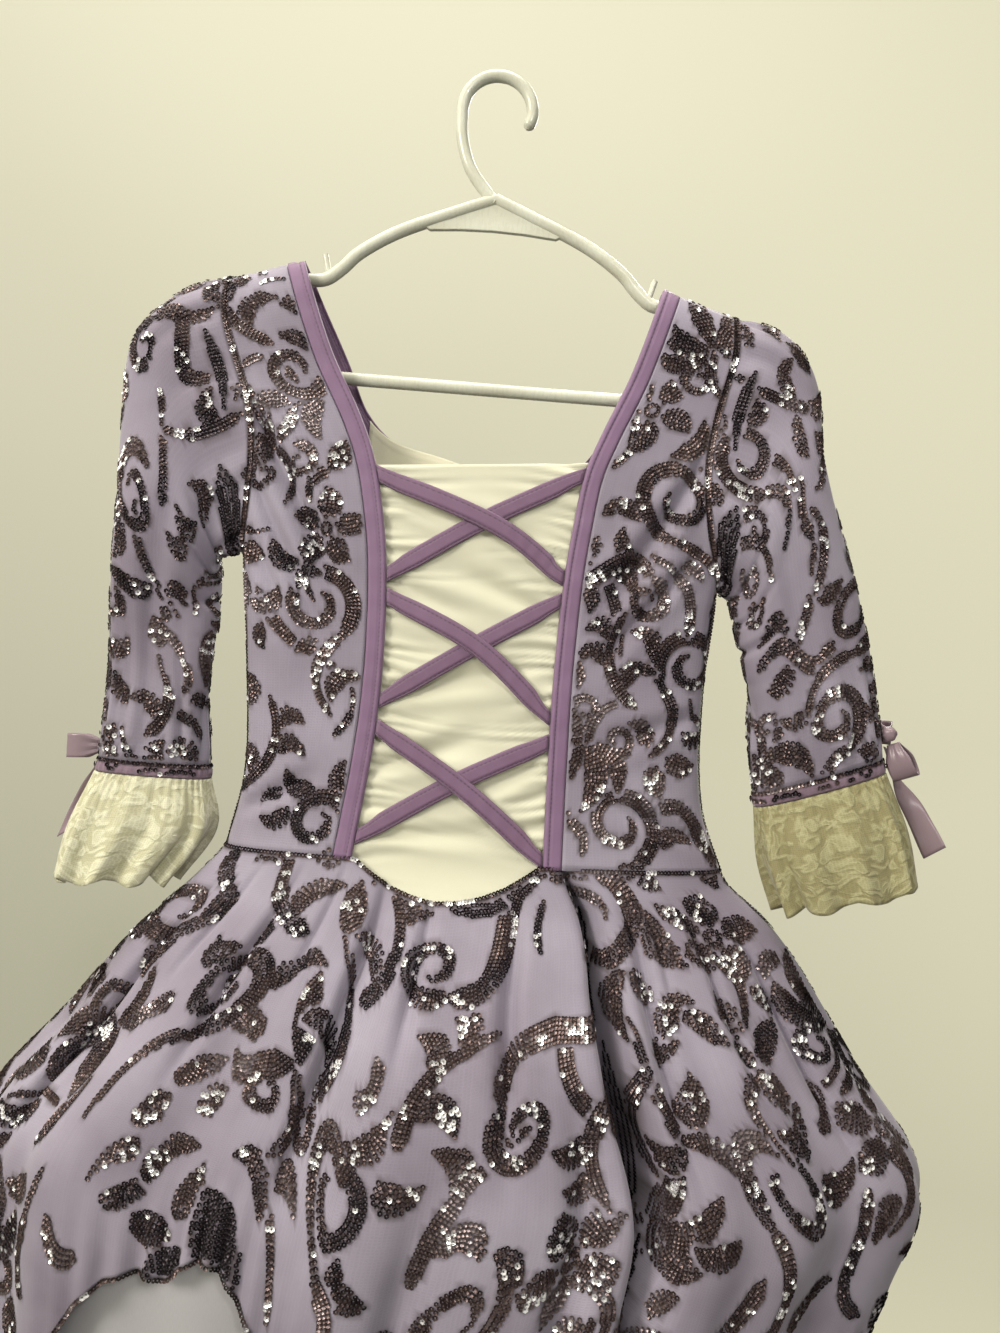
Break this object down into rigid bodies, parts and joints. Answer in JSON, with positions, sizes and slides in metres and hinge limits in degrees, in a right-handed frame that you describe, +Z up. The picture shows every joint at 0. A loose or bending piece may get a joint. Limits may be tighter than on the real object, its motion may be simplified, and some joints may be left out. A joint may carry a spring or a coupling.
{
  "type": "tutu dance costume on a hanger",
  "caption": "Child's hollow dance costume with a laced front, elbow sleeves with lace frills and bows, and a full picked-up skirt, hanging on a tube hanger.",
  "frame": {"origin": "inside top of the hanger's hook, where the hook rests on what it hangs from", "axes": "+Z up, the front of the costume faces -Y, +X is the wearer's left"},
  "size_m": [0.5341, 0.1474, 0.7854],
  "materials": {
    "hanger_plastic": "satin",
    "sequinned_net": "net over lining with sequins",
    "binding": "matt knit",
    "cream_knit": "soft sheen",
    "lining": "matt knit",
    "lace": "open floral lace",
    "satin_ribbon": "satin",
    "underskirt": "soft sheen"
  },
  "bodies": {
    "root": {"hanger": "hanger_plastic", "front_left": "sequinned_net", "front_right": "sequinned_net", "binding_front_left": "binding", "binding_front_right": "binding", "stomacher": "cream_knit", "strap_1_down": "binding", "strap_1_up": "binding", "strap_2_down": "binding", "strap_2_up": "binding", "strap_3_down": "binding", "strap_3_up": "binding", "back": "sequinned_net", "binding_back_neck": "binding", "back_lining": "lining", "sleeve_left": "sequinned_net", "sleeve_right": "sequinned_net", "cuff_left": "sequinned_net", "cuff_right": "sequinned_net", "lace_left": "lace", "lace_right": "lace", "bow_knot_left": "satin_ribbon", "bow_loop_front_left": "satin_ribbon", "bow_loop_back_left": "satin_ribbon", "bow_tail_front_left": "satin_ribbon", "bow_tail_back_left": "satin_ribbon", "bow_knot_right": "satin_ribbon", "bow_loop_front_right": "satin_ribbon", "bow_loop_back_right": "satin_ribbon", "bow_tail_front_right": "satin_ribbon", "bow_tail_back_right": "satin_ribbon", "overskirt_front": "sequinned_net", "overskirt_back": "sequinned_net", "underskirt_front": "underskirt", "underskirt_back": "underskirt"}
  },
  "joints": []
}
